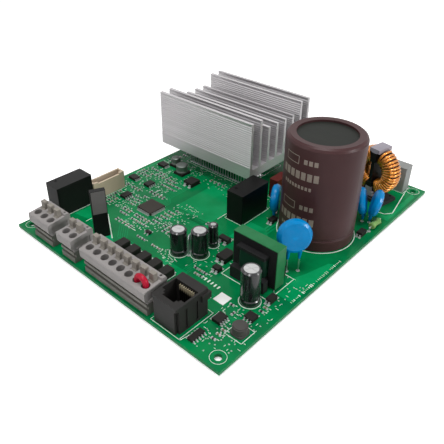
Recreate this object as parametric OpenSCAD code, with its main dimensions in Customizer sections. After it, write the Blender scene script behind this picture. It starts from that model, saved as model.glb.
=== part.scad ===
// Driver board for a DC motor: a populated circuit board with a power stage under an
// extruded heat sink, a bulk capacitor, a mains choke, a small supply transformer and
// pluggable spring-clamp terminals along one edge. The terminal edge faces -Y, +Z is up,
// heights of the parts are counted from the top face of the board.

/* [Board] */
// board size along the terminal edge
board_w = 130; // [110:1:170]
// board size from the terminal edge to the back
board_d = 164; // [150:1:200]
// laminate thickness
board_t = 1.6; // [1:0.1:3.2]
// distance of the mounting holes from each edge
hole_inset = 4.8; // [3.6:0.1:8]
// mounting hole diameter
hole_d = 3.2; // [2.5:0.1:4.5]
// height of the solder joints under the board
joint_h = 1; // [0.5:0.1:2]

/* [Heat sink] */
// length of the extrusion
sink_l = 65; // [50:1:80]
// width across the fins
sink_w = 49.6; // [40:0.2:52]
// underside of the base plate above the board
sink_z = 10.5; // [9:0.5:14]
// base plate thickness
sink_base = 5; // [3:0.5:8]
// fin thickness
fin_t = 1.8; // [1.2:0.1:2.6]
// top of the outer fins above the board
fin_top = 41; // [30:1:60]
// top of the four middle fins above the board
mid_fin_top = 35.3; // [25:0.1:50]
// number of fins
fins = 8; // [6:1:9]
// pitch of the fine ribs on the fin faces
rib_pitch = 1.15; // [1:0.05:3]
// depth of the fine ribs
rib_depth = 0.22; // [0.1:0.02:0.4]

/* [Bulk capacitor] */
// outside diameter over the sleeve
bulk_d = 35; // [25:0.5:40]
// height above the board
bulk_h = 51; // [30:1:70]
// sleeve thickness
sleeve_t = 0.4; // [0.2:0.05:0.8]

/* [Terminals] */
// distance between two poles
pitch = 5; // [3.5:0.01:5.08]
// height of the plug at its front edge
plug_h = 12.4; // [11:0.1:16]
// wire entry diameter
entry_d = 3.6; // [2.4:0.1:3.9]

/* [Choke] */
// outside diameter over the winding
choke_d = 25.6; // [20:0.2:34]
// length of the wound ring along its axis
choke_l = 9; // [7:0.5:16]
// wire diameter
choke_wire = 1.3; // [0.6:0.05:1.6]
// turns in each half
choke_turns = 21; // [10:1:24]

/* [Relays] */
// relay case width
relay_w = 9.9; // [8:0.1:12]
// relay case length
relay_l = 20; // [16:0.1:24]
// relay case height
relay_h = 15.8; // [12:0.1:20]

/* [Hidden] */
$fn = 48;
eps = 0.01;
zb = joint_h + board_t;
front = -board_d / 2;
back = board_d / 2;
sink_x = [-64.5, -64.5 + sink_l];
sink_y = 12.5;
fin_pitch = (sink_w - fin_t) / (fins - 1);
bulk_at = [42, 11.7];
hole_at = [for (sx = [-1, 1], sy = [-1, 1])
    [sx * (board_w / 2 - hole_inset), sy * (board_d / 2 - hole_inset)]];

// terminal blocks: place of the first pole, number of poles
blocks = [[-49.4, 3], [-27.4, 2], [-10.5, 8]];
poles = [for (b = blocks, i = [0 : b[1] - 1]) b[0] + i * pitch];
pole_y = front + 3.5;
plug_y = [front, front + 11.8];
head_y = [front + 1.2, front + 11.3];
lever_y = front + 6;
plug_side = 2.8;

// corners of the boxy parts, counted from the board top
jack_x = [29.2, 42.8];
jack_y = [front + 1.6, front + 18.4];
jack_h = 13;
jack_mid = (jack_x[0] + jack_x[1]) / 2;
relay_at = [[-64.8, -64.4], [4.1, -9.3]];
upright_at = [-28.2, -60];
upright_turn = -25;
upright_size = [2.6, 7, 24.8];
core_x = [32, 54];
core_y = [-36.5, -30.5];
core_z = [0.8, 20];
core_leg = 3.6;
module_x = [-51, -9];
module_y = [23, 49];
module_z = [4.3, sink_z];
screw_at = [[module_x[0] + 3.2, 36], [module_x[1] - 3.2, 36]];
choke_at = [46.4, 58.4];
choke_z = 3 + choke_d / 2;
choke_turn = -11;
film_x = [38.6, 56.6];
film_y = [back - 10, back - 3];
film_h = 14;
label_at = [41.4, -53.9];
conn_x = [-60.2, -55.4];
conn_y = [-43.6, -24];

// radial capacitors: place, diameter, height
radials = [[6.9, -44.4, 7.7, 12.6], [14.9, -39.2, 7.7, 13.2],
           [14.6, -30.2, 4.6, 11.6], [50.2, -47.4, 8.2, 16.6]];
radial_leg = 0.6;
// disc capacitors: foot, turn of the disc, lean, diameter, centre height, thickness
discs = [[51.6, -20.6, 48, -14, 15, 17.4, 4.6], [20.2, 8.6, 118, 0, 13.6, 10.1, 4.4],
         [56.64, 37.22, 115, 13, 13.6, 10.1, 4.2], [53.56, 35.78, 115, -13, 13.6, 10.1, 4.2]];
disc_leg = 0.35;
disc_span = 5;

function block_x(b) = [b[0] - plug_side, b[0] + (b[1] - 1) * pitch + plug_side];
function disc_feet(d) = [for (s = [-1, 1])
    [d[0] + s * disc_span / 2 * cos(d[2]), d[1] + s * disc_span / 2 * sin(d[2])]];

// every soldered leg: place and leg radius, in groups by part
terminal_legs = [for (x = poles) [x, head_y[1] - 2.2, 0.5]];
jack_legs = [for (i = [0 : 7]) [jack_mid + (i - 3.5) * 1.27,
    jack_y[1] - (i % 2 == 0 ? 1.2 : 3.2), 0.3]];
relay_legs = [for (r = relay_at, p = [[1.2, 2], [8.4, 2], [1.2, 17.6], [8.4, 17.6], [4.8, 9.8]])
    [r[0] + p[0], r[1] + p[1], 0.45]];
upright_legs = [for (i = [-1 : 1]) [upright_at[0] - i * 2.54 * sin(upright_turn),
    upright_at[1] + i * 2.54 * cos(upright_turn), 0.3]];
conn_legs = [for (i = [0 : 12]) [-57.8, -41.3 + i * 1.25, 0.3]];
module_legs = concat([for (i = [0 : 21]) [-49.4 + i * 1.87, 21.2, 0.3]],
    [for (i = [0 : 10]) [-49.4 + i * 3.74, 50.8, 0.4]]);
bulk_legs = [for (s = [-1, 1]) [bulk_at[0] + s * 5, bulk_at[1], 0.9]];
radial_legs = [for (r = radials, s = [-1, 1]) [r[0] + s * r[2] * 0.22, r[1], radial_leg / 2]];
core_legs = [for (x = [36, 40.7, 45.3, 50], y = [-39.7, -27.3]) [x, y, 0.4]];
choke_legs = [for (sx = [-1, 1], sy = [-1, 1]) let (x = sx * 7.6, y = sy * 4.6)
    [choke_at[0] + x * cos(choke_turn) - y * sin(choke_turn),
     choke_at[1] + x * sin(choke_turn) + y * cos(choke_turn), choke_wire / 2]];
film_legs = [for (s = [-1, 1]) [(film_x[0] + film_x[1]) / 2 + s * 7.5, (film_y[0] + film_y[1]) / 2, 0.4]];
snub_legs = [for (s = [-1, 1]) [9.4, 26 + s * 3.75, 0.35]];
disc_legs = [for (d = discs, f = disc_feet(d)) [f[0], f[1], disc_leg]];
link_legs = [for (s = [-1, 1]) [10.9 - s * 0.86, -41.8 + s * 1.33, 0.35]];
axial_legs = [for (s = [-1, 1]) [61.2, 33.4 + s * 5.2, 0.35]];
legs = concat(terminal_legs, jack_legs, relay_legs, upright_legs, conn_legs, module_legs,
    bulk_legs, radial_legs, core_legs, choke_legs, film_legs, snub_legs, disc_legs,
    link_legs, axial_legs);

// flat packages on the board top: centre, body size x y z, leads a side, lead side, lead width
ics = [[-57.5, 6, 5.4, 3.9, 1.5, 4, "x", 0.45], [-58.4, -15, 5, 3.9, 1.5, 4, "x", 0.45],
       [-47, -14, 3.9, 5, 1.5, 4, "x", 0.45], [-47.2, -30, 3.9, 5.2, 1.5, 4, "x", 0.45],
       [48.4, -63.2, 3.9, 5, 1.6, 4, "x", 0.5], [56.6, -54.4, 4.2, 3.9, 1.5, 3, "y", 0.45],
       [47.7, -75.4, 2.6, 7, 1.2, 5, "x", 0.4], [-14, -44, 3, 1.6, 1.1, 2, "y", 0.5]];
// moulded power parts with bent tabs: centre, body size
tabs = [[-31, 2.4, 6.2, 6.4, 2.4], [25.3, -33.6, 5.2, 7, 2.8], [28, -42.2, 3.4, 2.6, 2.2],
        [16.6, -24.4, 5.4, 2.8, 2.4], [56.4, -41.4, 2.6, 4.4, 2.2], [59.8, 23.4, 2.8, 4.6, 2.2],
        [23, 3.4, 2.8, 4.2, 2.2]];
mcu_at = [-29, -28.9];
mcu_w = 9.8;
mcu_leads = 14;
smd_cans = [[-43.4, 7.2, 6.3, 5.6], [-52.4, 11.4, 5, 5.3]];
optos = [for (i = [0 : 4]) [-13.9 + i * 7.15, -59.9]];

// small chips in rows: first place, steps right and back, count right and back, turned
chip_rows = [
    [-61.5, 13, 3.1, 0, 3, 1, 1], [-61.5, -0.6, 2.9, 2.4, 3, 1, 0], [-61.8, -8.6, 2.4, 3.1, 4, 2, 1],
    [-52, -4, 2.6, 2.9, 4, 2, 1], [-41.5, -9.4, 2.7, 2.6, 4, 1, 0], [-40.8, -18.4, 2.4, 0, 6, 1, 1],
    [-56, -21.6, 2.3, 0, 5, 1, 1], [-53.4, -41.8, 2.4, 3.2, 3, 5, 1], [-42.6, -31.6, 0, 2.6, 1, 4, 0],
    [-39, -33, 0, 2.3, 1, 5, 0], [-38.6, -38.2, 2.2, 0, 9, 1, 1], [-37, -41.4, 2.9, 0, 7, 1, 0],
    [-34, -46.6, 2.5, 0, 6, 1, 1], [-19.4, -35.4, 2.7, 2.6, 2, 6, 0], [-12.6, -38, 2.6, 3.2, 3, 2, 1],
    [-15, -49.2, 3.4, 0, 7, 1, 0], [2, -33.6, 2.8, 2.7, 3, 2, 0], [-2, -19.6, 3.1, 0, 3, 1, 1],
    [20.4, -50, 2.7, 2.7, 3, 2, 0], [45.4, -70.2, 2.6, 0, 3, 1, 1], [53.2, -72, 0, 2.8, 1, 4, 0],
    [47.4, -57.4, 2.6, 0, 3, 1, 1], [46.6, -54, 0, 2.6, 1, 2, 0], [57.4, -49, 0, 2.6, 1, 2, 0],
    [-57.5, 20, 0, 3.2, 1, 5, 0], [-25.6, 12, 3, 0, 4, 1, 1], [-41.4, -6, 2.7, 2.8, 4, 2, 0],
    [30.4, -57.4, 2.7, 0, 3, 1, 1], [2, -56.6, 2.9, 0, 4, 1, 0], [20, -21, 2.6, 0, 3, 1, 1]];
taken = concat([for (p = ics) [p[0], p[1], p[2] / 2 + 1.2, p[3] / 2 + 1.2]],
    [for (p = tabs) [p[0], p[1], p[2] / 2, p[3] / 2 + 1.2]],
    [for (p = smd_cans) [p[0], p[1], p[2] / 2 + 0.4, p[2] / 2 + 0.4]],
    [for (p = radials) [p[0], p[1], p[2] / 2, p[2] / 2]],
    [for (p = optos) [p[0], p[1], 2.2, 4.6]],
    [[mcu_at[0], mcu_at[1], mcu_w / 2 + 1, mcu_w / 2 + 1], [label_at[0], label_at[1], 2.7, 2.7]]);
function free(c) = min([for (t = taken) max(abs(c[0] - t[0]) - t[2], abs(c[1] - t[1]) - t[3])]) > 1.2;
chips = [for (r = chip_rows, i = [0 : r[4] - 1], j = [0 : r[5] - 1])
    let (c = [r[0] + i * r[2], r[1] + j * r[3], r[6]]) if ((i * 5 + j * 3 + r[4]) % 7 != 3 && free(c)) c];
chip = [1.6, 0.8, 0.55];
chip_end = 0.3;

// a box from two corner pairs and a height range above the board top
module slab(x, y, z) translate([x[0], y[0], zb + z[0]])
    cube([x[1] - x[0], y[1] - y[0], z[1] - z[0]]);

// the same box with round upright edges
module soft_slab(x, y, z, r) translate([x[0], y[0], zb + z[0]])
    linear_extrude(z[1] - z[0]) soft_square([x[1] - x[0], y[1] - y[0]], r);

module soft_square(s, r) {
    translate([r, 0]) square([s[0] - 2 * r, s[1]]);
    translate([0, r]) square([s[0], s[1] - 2 * r]);
    for (x = [r, s[0] - r], y = [r, s[1] - r]) translate([x, y]) circle(r, $fn = 24);
}

// round legs from under the board up to a height above its top
module pegs(list, top) for (p = list)
    translate([p[0], p[1], joint_h]) cylinder(r = p[2], h = board_t + top, $fn = 16);

// a profile in the YZ plane pulled along X
module along_x(x0, x1) translate([x0, 0, zb]) rotate([90, 0, 90]) linear_extrude(x1 - x0) children();

module circuit_board() color("#0b6b3d") translate([0, 0, joint_h]) linear_extrude(board_t)
    difference() {
        translate([-board_w / 2, -board_d / 2]) square([board_w, board_d]);
        for (p = hole_at) translate(p) circle(d = hole_d);
        for (p = legs) translate([p[0], p[1]]) circle(p[2], $fn = 16);
        for (p = screw_at) translate(p) circle(d = 6.6);
    }

module solder_joints() color("#b9bcc0") for (p = legs)
    translate([p[0], p[1], 0]) cylinder(r1 = p[2] * 0.9, r2 = p[2] + 0.3, h = joint_h, $fn = 16);

// outline of one fin from its left foot to its right foot: fine ribs on both faces
function fin_top_of(i) = i < 2 || i > fins - 3 ? fin_top : mid_fin_top;
function fin_side(top) = [for (i = [0 : floor((top - sink_z - sink_base - 2) / rib_pitch) - 1], k = [0, 1])
    [k * rib_depth, sink_z + sink_base + 1.6 + (i + k * 0.5) * rib_pitch]];
function fin_outline(i) = let (c = sink_y + fin_t / 2 + i * fin_pitch, top = fin_top_of(i),
    side = fin_side(top), n = len(side)) concat(
        [[c - fin_t / 2, sink_z + sink_base]], [for (p = side) [c - fin_t / 2 + p[0], p[1]]],
        [[c - fin_t / 2, top], [c + fin_t / 2, top]],
        [for (j = [n - 1 : -1 : 0]) [c + fin_t / 2 - side[j][0], side[j][1]]],
        [[c + fin_t / 2, sink_z + sink_base]]);

// one extrusion: the base plate and all fins in a single profile
module heat_sink() color("#c4c6c9") difference() {
    along_x(sink_x[0], sink_x[1]) polygon(concat(
        [[sink_y + sink_w, sink_z], [sink_y, sink_z]], [for (i = [0 : fins - 1]) each fin_outline(i)]));
    for (p = screw_at) translate([p[0], p[1], zb + sink_z - eps]) cylinder(d = 3, h = 4, $fn = 24);
}

module power_module() color("#1d1f22") difference() {
    slab(module_x, module_y, module_z);
    for (p = screw_at) translate([p[0], p[1], zb]) {
        cylinder(d = 3.2, h = sink_z + 1, $fn = 24);
        cylinder(d = 6.4, h = 7, $fn = 32);
    }
}

module module_legs() color("#c9c6bd") for (p = module_legs) {
    front = p[1] < 36;
    translate([p[0], p[1], joint_h]) cylinder(r = p[2], h = board_t + 7.6, $fn = 16);
    translate([p[0] - 0.3, front ? p[1] : module_y[1], zb + 7])
        cube([0.6, front ? module_y[0] - p[1] : p[1] - module_y[1], 0.5]);
}

module module_screws() color("#9a9da1") for (p = screw_at) translate([p[0], p[1], zb]) {
    difference() {
        translate([0, 0, 4.6]) cylinder(d = 5.6, h = 2.4, $fn = 32);
        translate([0, 0, 4.5]) cylinder(d = 2.9, h = 1.4, $fn = 6);
    }
    translate([0, 0, 6.9]) cylinder(d = 3, h = 7.4, $fn = 24);
}

// header: low socket soldered to the board, with two grooves along its front
module terminal_headers() color("#a9a7a2") for (b = blocks) {
    x = block_x(b);
    difference() {
        along_x(x[0] + 0.5, x[1] - 0.5) polygon([
            [head_y[0], 0], [head_y[0], 2.6], [head_y[0] + 1, 2.6], [head_y[0] + 1, 4.1],
            [head_y[0], 4.1], [head_y[0], 5.4], [head_y[0] + 0.8, 5.4], [head_y[0] + 0.8, 6.2],
            [head_y[1], 6.2], [head_y[1], 0]]);
        for (i = [0 : b[1] - 1]) pegs([[b[0] + i * pitch, head_y[1] - 2.2, 0.5]], 10);
    }
}

// plug: housing with a sloping top, a wire hole and a slot for the lever at each pole
module terminal_plugs() color("#b9b7b3") for (b = blocks) {
    x = block_x(b);
    difference() {
        along_x(x[0], x[1]) polygon([
            [plug_y[0] + 1.4, 6.2], [plug_y[0] + 1.4, 6.8], [plug_y[0] + 0.3, 7.8],
            [plug_y[0], 8.5], [plug_y[0], plug_h - 0.4], [plug_y[0] + 0.4, plug_h],
            [lever_y + 2.9, plug_h + 0.7], [lever_y + 3.3, plug_h + 1.6],
            [plug_y[1] - 0.4, plug_h + 1.4], [plug_y[1], plug_h + 0.9], [plug_y[1], 6.2]]);
        for (i = [0 : b[1] - 1]) translate([b[0] + i * pitch, 0, zb]) {
            translate([0, pole_y, 8]) cylinder(d = entry_d, h = 8);
            translate([-1.9, lever_y - 0.2, 9]) cube([3.2, 3, 9]);
            translate([-0.9, plug_y[0] - 1, 6.9]) cube([1.8, 1.9, 1.3]);
            translate([-0.5, head_y[1] - 2.7, 6]) cube([1, 1, 4]);
        }
        translate([x[1] - 2, plug_y[1] - 1.3, zb + 10]) cylinder(d = 1.2, h = 8, $fn = 24);
        for (e = x) translate([e - 0.5, plug_y[0] + 2, zb + 7.4]) cube([1, 8, 3.6]);
    }
}

// release lever in each slot, standing well proud of the plug
module terminal_levers() color("#c2c0bb") for (x = poles) along_x(x - 1.7, x + 1.1)
    polygon([[lever_y, 9], [lever_y, 12.6], [lever_y + 0.6, 13.2], [lever_y + 0.6, 16.5],
        [lever_y + 2.6, 16.5], [lever_y + 2.6, 9]]);

// spring clamp seen at the bottom of each wire hole
module terminal_clamps() color("#8d8f92") for (x = poles) translate([x, pole_y, zb]) difference() {
    translate([0, 0, 8]) cylinder(d = entry_d, h = 1.2);
    translate([-2, -0.4, 8.6]) cube([4, 0.8, 2]);
}

module terminal_legs() color("#c9c6bd") pegs(terminal_legs, 9.6);

// insulated wire link from the seventh pole to the eighth
module jumper_link() color("#b3202c") {
    r = pitch / 2;
    translate([poles[12] - r, pole_y, zb + plug_h + 0.5]) rotate([90, 0, 0])
        rotate_extrude(angle = 180) translate([r, 0]) circle(1.25, $fn = 24);
    for (x = [poles[11], poles[12]]) translate([x, pole_y, zb + 9.2])
        cylinder(r = 1.25, h = plug_h - 8.7, $fn = 24);
}

module jack_housing() color("#222426") difference() {
    union() {
        soft_slab([jack_x[0], jack_x[1]], jack_y, [0, jack_h], 0.5);
        slab([jack_x[1] - 3, jack_x[1] + 0.9], [jack_y[1] - 4, jack_y[1] + 0.8], [8.4, 11.4]);
    }
    // plug cavity with the stepped latch notch
    slab([jack_mid - 5.9, jack_mid + 5.9], [jack_y[0] + 5, jack_y[1] - 4.4], [1.5, 20]);
    slab([jack_mid - 4.1, jack_mid + 4.1], [jack_y[0] + 3.8, jack_y[0] + 5.2], [1.5, 20]);
    slab([jack_mid - 3.1, jack_mid + 3.1], [jack_y[0] + 2.5, jack_y[0] + 4], [1.5, 20]);
    for (i = [0 : 7]) slab([jack_mid + (i - 3.5) * 1.02 - 0.3, jack_mid + (i - 3.5) * 1.02 + 0.3],
        [jack_y[1] - 4.6, jack_y[1] - 3.6], [1.5, 12.2]);
    // corner grooves and side slots below the rim
    slab([jack_x[0] - 1, jack_x[0] + 1.2], [jack_y[0] - 1, jack_y[0] + 1.4], [-1, 11.4]);
    slab([jack_x[1] - 1.2, jack_x[1] + 1], [jack_y[0] - 1, jack_y[0] + 1.4], [-1, 11.4]);
    for (y = [jack_y[0] + 4.4, jack_y[0] + 10]) slab([jack_x[1] - 0.5, jack_x[1] + 0.4], [y, y + 1.2], [1, 10.2]);
    for (y = [jack_y[0] + 4.4, jack_y[0] + 10]) slab([jack_x[0] - 0.4, jack_x[0] + 0.5], [y, y + 1.2], [1, 10.2]);
    slab([jack_x[0] + 2, jack_x[1] - 2], [jack_y[1] - 4.2, jack_y[1] + 1], [-1, 2.6]);
}

// sprung contacts along the back wall of the cavity, with their soldered tails
module jack_contacts() color("#d8b25a") for (i = [0 : 7]) {
    x = jack_mid + (i - 3.5) * 1.02;
    slab([x - 0.2, x + 0.2], [jack_y[1] - 5, jack_y[1] - 4.2], [2, 11.4]);
    p = jack_legs[i];
    translate([p[0], p[1], joint_h]) cylinder(r = p[2], h = board_t + 2.6, $fn = 16);
}

module relay_cases() color("#26282b") for (r = relay_at)
    difference() {
        soft_slab([r[0], r[0] + relay_w], [r[1], r[1] + relay_l], [0, relay_h], 0.5);
        translate([r[0] + 2.4, r[1] + 4.2, zb + relay_h - 0.3]) cylinder(d = 1.4, h = 1, $fn = 24);
        slab([r[0] + 0.6, r[0] + relay_w - 0.6], [r[1] + 0.6, r[1] + relay_l - 0.6], [-1, 0.5]);
    }

module relay_legs() color("#c9c6bd") pegs(relay_legs, 0.5);

// slim part on edge, turned a little out of the board's directions
module upright_space() translate([upright_at[0], upright_at[1], 0]) rotate(upright_turn) children();

module upright_module() color("#1b1c1f") upright_space() soft_slab([-upright_size[0] / 2, upright_size[0] / 2],
    [-upright_size[1] / 2, upright_size[1] / 2], [0, upright_size[2]], 0.3);

// blank grey field on the upper half of the broad face
module upright_panel() color("#77777a") upright_space()
    slab([upright_size[0] / 2, upright_size[0] / 2 + 0.15], [0.3 - upright_size[1] / 2, upright_size[1] / 2 - 0.3],
        [upright_size[2] / 2 + 0.6, upright_size[2] - 0.2]);

module upright_legs() color("#c9c6bd") pegs(upright_legs, 0);

module ribbon_connector() color("#cdbd9f") difference() {
    slab(conn_x, conn_y, [0, 9.6]);
    slab([conn_x[0] + 0.9, conn_x[1] - 1.1], [conn_y[0] + 1, conn_y[1] - 1], [2, 12]);
    slab([conn_x[1] - 1.3, conn_x[1] + 1], [conn_y[0] + 3, conn_y[1] - 3], [8.7, 12]);
    pegs(conn_legs, 5);
}

module ribbon_pins() color("#d0c9b4") pegs(conn_legs, 7);

module optocouplers() color("#202124") for (p = optos) difference() {
    slab([p[0] - 2.2, p[0] + 2.2], [p[1] - 3.2, p[1] + 3.2], [0.2, 3.5]);
    translate([p[0] - 1.3, p[1] - 2.2, zb + 3.35]) cylinder(d = 0.9, h = 1, $fn = 16);
}

module optocoupler_leads() color("#c9c6bd") for (p = optos, s = [-1, 1], x = [-1.27, 1.27])
    gull(p[0] + x, p[1] + s * 3.2, s > 0 ? 90 : -90, 1.8, 1.3, 0.6);

// bent lead that starts at a body side and lies flat on its pad
module gull(x, y, turn, h, run, w) translate([x, y, zb]) rotate(turn) translate([0, w / 2, 0])
    rotate([90, 0, 0]) linear_extrude(w)
        polygon([[0, h], [0, h - 0.2], [run * 0.3, h - 0.2], [run * 0.3, 0], [run, 0], [run, 0.2],
            [run * 0.3 + 0.2, 0.2], [run * 0.3 + 0.2, h]]);

module microcontroller() color("#2b2b2d") difference() {
    translate([mcu_at[0] - mcu_w / 2, mcu_at[1] - mcu_w / 2, zb + 0.1]) cube([mcu_w, mcu_w, 1.4]);
    translate([mcu_at[0] - 3.9, mcu_at[1] - 3.9, zb + 1.4]) cylinder(d = 1, h = 1, $fn = 24);
}

module microcontroller_leads() color("#bfc1c3") for (a = [0, 90, 180, 270], i = [0 : mcu_leads - 1])
    translate([mcu_at[0], mcu_at[1], 0]) rotate(a)
        gull(mcu_w / 2, (i - (mcu_leads - 1) / 2) * 0.62, 0, 0.9, 1, 0.3);

module flat_packages() color("#28292b") for (p = ics) difference() {
    translate([p[0] - p[2] / 2, p[1] - p[3] / 2, zb + 0.1]) cube([p[2], p[3], p[4] - 0.1]);
    translate([p[0] - p[2] / 2 + 0.6, p[1] - p[3] / 2 + 0.6, zb + p[4] - 0.1]) cylinder(d = 0.5, h = 1, $fn = 16);
}

module flat_package_leads() color("#c9cbcc") for (p = ics, i = [0 : p[5] - 1]) {
    along = (p[6] == "x" ? p[3] : p[2]) - 1.2;
    off = p[5] > 1 ? (i / (p[5] - 1) - 0.5) * along : 0;
    if (p[6] == "x") {
        gull(p[0] + p[2] / 2, p[1] + off, 0, p[4] * 0.6, 1.1, p[7]);
        gull(p[0] - p[2] / 2, p[1] + off, 180, p[4] * 0.6, 1.1, p[7]);
    } else {
        gull(p[0] + off, p[1] + p[3] / 2, 90, p[4] * 0.6, 1.1, p[7]);
        gull(p[0] + off, p[1] - p[3] / 2, -90, p[4] * 0.6, 1.1, p[7]);
    }
}

module power_packages() color("#1f2022") for (p = tabs)
    translate([p[0] - p[2] / 2, p[1] - p[3] / 2, zb]) cube([p[2], p[3], p[4]]);

module power_package_tabs() color("#cfd1d2") for (p = tabs) for (s = [-1, 1], t = [-0.28, 0.28])
    gull(p[0] + t * p[2], p[1] + s * p[3] / 2, s * 90, p[4] * 0.5, 1.2, min(1.4, p[2] * 0.3));

module at_chip(c) translate([c[0], c[1], zb]) rotate(c[2] * 90) children();

module chip_bodies() color("#3c352e") for (c = chips) at_chip(c)
    translate([-chip[0] / 2 + chip_end, -chip[1] / 2, 0]) cube([chip[0] - 2 * chip_end, chip[1], chip[2]]);

module chip_ends() color("#d6d8d8") for (c = chips, s = [0, 1]) at_chip(c)
    translate([s ? chip[0] / 2 - chip_end : -chip[0] / 2 - 0.2, -chip[1] / 2, 0])
        cube([chip_end + 0.2, chip[1], chip[2]]);

module smd_can_bases() color("#1d1d1f") for (p = smd_cans) difference() {
    soft_slab([p[0] - p[2] / 2 - 0.3, p[0] + p[2] / 2 + 0.3],
        [p[1] - p[2] / 2 - 0.3, p[1] + p[2] / 2 + 0.3], [0, 1.4], 0.4);
    translate([p[0], p[1], zb + 1]) cylinder(d = p[2], h = 5);
}

module smd_cans() color("#bcc0c2") for (p = smd_cans) translate([p[0], p[1], zb + 1]) {
    rotate_extrude() polygon([[0, 0], [p[2] / 2, 0], [p[2] / 2, 0.9], [p[2] / 2 - 0.25, 1.15],
        [p[2] / 2, 1.4], [p[2] / 2, p[3] - 1.4], [p[2] / 2 - 0.4, p[3] - 1], [0, p[3] - 1]]);
}

module smd_inductor() color("#8f8d92") {
    soft_slab([55.2, 61.4], [-66.2, -60], [0, 0.9], 1.8);
    translate([58.3, -63.1, zb + 0.8]) cylinder(r = 3.05, h = 2.9);
    translate([58.3, -63.1, zb + 3.6]) cylinder(d = 5.2, h = 0.4);
}

module bulk_can() color("#c3c5c6") translate([bulk_at[0], bulk_at[1], zb]) {
    r = bulk_d / 2 - sleeve_t;
    rotate_extrude($fn = 96)
        polygon([[0, 2], [r - 1.2, 2], [r - 1.2, 1], [r, 1], [r, 5], [r - 0.8, 5.8], [r, 6.6],
            [r, bulk_h - 1.6], [r - 1.2, bulk_h - 0.5], [r - 2, bulk_h - 0.5],
            [r - 3.2, bulk_h - 1.2], [0, bulk_h - 1.2]]);
}

// shrunk sleeve, drawn over the rim at the top and under the foot
module bulk_sleeve() color("#54403d") translate([bulk_at[0], bulk_at[1], zb]) {
    r = bulk_d / 2;
    t = sleeve_t;
    rotate_extrude($fn = 96) polygon([[r - t, 0.4], [r, 0.4], [r, 5.2], [r - 0.6, 5.8], [r, 6.4],
        [r, bulk_h - 1.8], [r - 0.5, bulk_h - 0.7], [r - 1.4, bulk_h], [r - 4.2, bulk_h - 0.2],
        [r - 4.2, bulk_h - 1.2], [r - t - 3.2, bulk_h - 1.2], [r - t - 2, bulk_h - 0.5],
        [r - t - 1.2, bulk_h - 0.5], [r - t, bulk_h - 1.6],
        [r - t, 6.6], [r - t - 0.8, 5.8], [r - t, 5]]);
}

module bulk_deck() color("#2a2522") translate([bulk_at[0], bulk_at[1], zb]) difference() {
    cylinder(r = bulk_d / 2 - sleeve_t - 1.2, h = 2, $fn = 96);
    for (s = [-1, 1]) translate([s * 5, 0, -1]) cylinder(r = 0.9, h = 4, $fn = 16);
}

module bulk_legs() color("#c9c6bd") pegs(bulk_legs, 2);

module radial_cans() color("#d9dadb") for (p = radials) translate([p[0], p[1], zb]) {
    r = p[2] / 2 - 0.15;
    difference() {
        rotate_extrude() polygon([[0, 1.2], [r, 1.2], [r, 2.2], [r - 0.3, 2.6], [r, 3],
            [r, p[3] - 0.5], [r - 0.5, p[3]], [0, p[3]]]);
        for (a = [0, 60, 120]) rotate(a) translate([-r * 0.72, -0.12, p[3] - 0.15])
            cube([r * 1.44, 0.24, 1]);
    }
}

module radial_sleeves() color("#17181a") for (p = radials) translate([p[0], p[1], zb]) {
    r = p[2] / 2;
    rotate_extrude() polygon([[r - 0.15, 0.3], [r, 0.3], [r, 2.2], [r - 0.3, 2.6], [r, 3],
        [r, p[3] - 0.5], [r - 0.55, p[3] + 0.1], [r - 1.1, p[3] + 0.1], [r - 1.1, p[3]],
        [r - 0.65, p[3]], [r - 0.15, p[3] - 0.5], [r - 0.15, 3], [r - 0.45, 2.6], [r - 0.15, 2.2]]);
}

module radial_bungs() color("#101011") for (p = radials) difference() {
    translate([p[0], p[1], zb]) cylinder(r = p[2] / 2 - 0.15, h = 1.2);
    for (s = [-1, 1]) translate([p[0] + s * p[2] * 0.22, p[1], zb - 1])
        cylinder(d = radial_leg, h = 4, $fn = 16);
}

module radial_legs() color("#c9c6bd") pegs(radial_legs, 1.2);

// ferrite frame with a middle leg through the bobbin
module transformer_core() color("#232427") {
    m = (core_x[0] + core_x[1]) / 2;
    slab(core_x, core_y, [core_z[1] - core_leg - 0.3, core_z[1] - 0.3]);
    slab(core_x, core_y, [core_z[0] + 0.3, core_z[0] + core_leg]);
    for (x = [core_x[0], core_x[1] - core_leg]) slab([x, x + core_leg], core_y,
        [core_z[0] + 0.3, core_z[1] - 0.3]);
    slab([m - 3, m + 3], core_y, [core_z[0] + 1, core_z[1] - 1]);
}

// band of tape drawn round the frame
module transformer_tape() color("#4f9a63") difference() {
    slab([core_x[0] - 0.3, core_x[1] + 0.3], [core_y[0] + 0.15, core_y[1] - 0.15], [core_z[0], core_z[1]]);
    slab(core_x, [core_y[0] - 1, core_y[1] + 1], [core_z[0] + 0.3, core_z[1] - 0.3]);
}

bob_z = [core_z[0] + core_leg, core_z[1] - core_leg - 0.3];
bob_x = [core_x[0] + core_leg + 0.2, core_x[1] - core_leg - 0.2];

module transformer_bobbin() color("#4a4b4e") {
    difference() {
        union() {
            slab(bob_x, [-39.4, -27.6], [bob_z[1] - 1.4, bob_z[1]]);
            slab(bob_x, [-39.4, -27.6], [bob_z[0], bob_z[0] + 1.4]);
            slab([43 - 3.9, 43 + 3.9], [-37.4, -29.6], bob_z);
        }
        slab([43 - 3, 43 + 3], core_y, [0, 30]);
    }
    for (y = [[-41.2, -38.2], [-28.8, -25.8]]) difference() {
        slab([bob_x[0] - 1.6, bob_x[1] + 1.6], y, [0.3, bob_z[0] + 1.4]);
        pegs(core_legs, 2.6);
    }
}

module transformer_winding() color("#12382a") difference() {
    soft_slab([bob_x[0] + 0.3, bob_x[1] - 0.3], [-38.8, -28.2], [bob_z[0] + 1.4, bob_z[1] - 1.4], 2);
    slab([43 - 3.9, 43 + 3.9], [-37.4, -29.6], [0, 30]);
}

module transformer_pins() color("#c9c6bd") pegs(core_legs, 2.6);

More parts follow.
